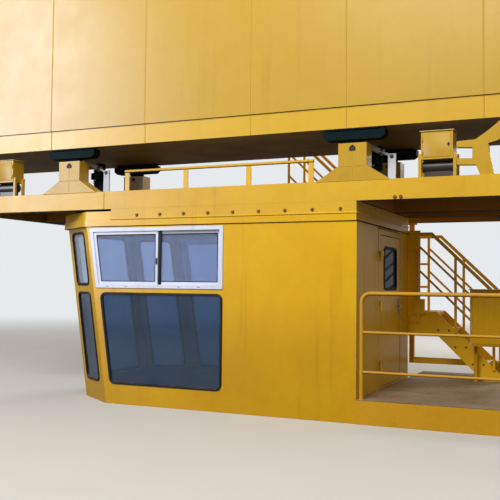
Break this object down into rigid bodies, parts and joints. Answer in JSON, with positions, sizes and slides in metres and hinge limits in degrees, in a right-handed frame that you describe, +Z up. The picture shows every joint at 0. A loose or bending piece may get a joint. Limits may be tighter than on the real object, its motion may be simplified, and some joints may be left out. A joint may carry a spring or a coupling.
{
  "type": "gantry crane operator cab section",
  "caption": "Ground-level section of a gantry crane: operator's cab under a carrying frame hung from a box girder, with rear platform and stair.",
  "frame": {"origin": "centre of the bounding box on the ground plane, under the middle of the girder's length", "axes": "+X along the girder towards the cab's back and the rear platform, +Y away from the side with the guard rail, +Z up"},
  "size_m": [8, 3.1, 4.997],
  "materials": {
    "girder_paint": "semi-gloss yellow paint, dusty",
    "machine_paint": "dark green-blue machine enamel",
    "steel": "bare and oiled steel",
    "cylinder_paint": "grey-blue enamel",
    "frame_paint": "semi-gloss yellow paint, chipped at edges",
    "deck_paint": "worn chequer plate",
    "base_paint": "black chassis paint",
    "floor_sheet": "studded sheet",
    "cab_paint": "glossy orange-yellow paint",
    "aluminium": "white-coated aluminium",
    "glass": "tinted safety glass",
    "gasket": "black rubber",
    "platform_paint": "yellow paint, scuffed",
    "stair_paint": "yellow paint, scuffed"
  },
  "bodies": {
    "structure": {"girder_webs": "girder_paint", "girder_top_plate": "girder_paint", "girder_bottom_plate": "girder_paint", "girder_bands": "girder_paint", "girder_diaphragms": "girder_paint", "hanger_brackets": "machine_paint", "hanger_pins": "steel", "gear_motors": "machine_paint", "push_cylinders": "cylinder_paint", "near_beam": "frame_paint", "mid_beam": "frame_paint", "trimmer_beam": "frame_paint", "far_beam": "frame_paint", "cross_beams": "frame_paint", "beam_caps": "frame_paint", "deck_plate": "deck_paint", "side_deck": "deck_paint", "deck_rail": "frame_paint", "pedestals": "frame_paint", "end_cabinets": "frame_paint", "end_rollers": "cylinder_paint", "end_arms": "frame_paint", "cab_base_rails": "base_paint", "cab_base_joists": "base_paint", "cab_floor": "floor_sheet", "near_wall": "cab_paint", "far_wall": "cab_paint", "rear_wall_sides": "cab_paint", "rear_wall_head": "cab_paint", "front_panel": "cab_paint", "corner_panels": "cab_paint", "cab_roof": "cab_paint", "roof_collar": "frame_paint", "window_frames": "aluminium", "window_sashes": "aluminium", "sliding_panes": "glass", "fixed_glass": "glass", "window_gaskets": "gasket", "door_trim": "cab_paint", "door_hinges": "steel", "platform_rails": "platform_paint", "platform_joists": "platform_paint", "platform_plate": "platform_paint", "guard_rail_near": "platform_paint", "guard_rail_end": "platform_paint", "rear_post": "platform_paint", "kerb_rail": "platform_paint", "stair_stringers": "stair_paint", "stair_treads": "stair_paint", "stair_rails": "stair_paint", "foot_cabinet": "platform_paint"},
    "door": {"door_leaf": "cab_paint", "door_glass": "glass", "door_gasket": "gasket", "door_handle": "steel"}
  },
  "joints": [
    {"name": "door_hinge", "type": "hinge", "parent": "structure", "child": "door", "pos_m": [1.824, -0.665, 1], "axis": [0, 0, -1], "range_deg": [0, 100]}
  ]
}
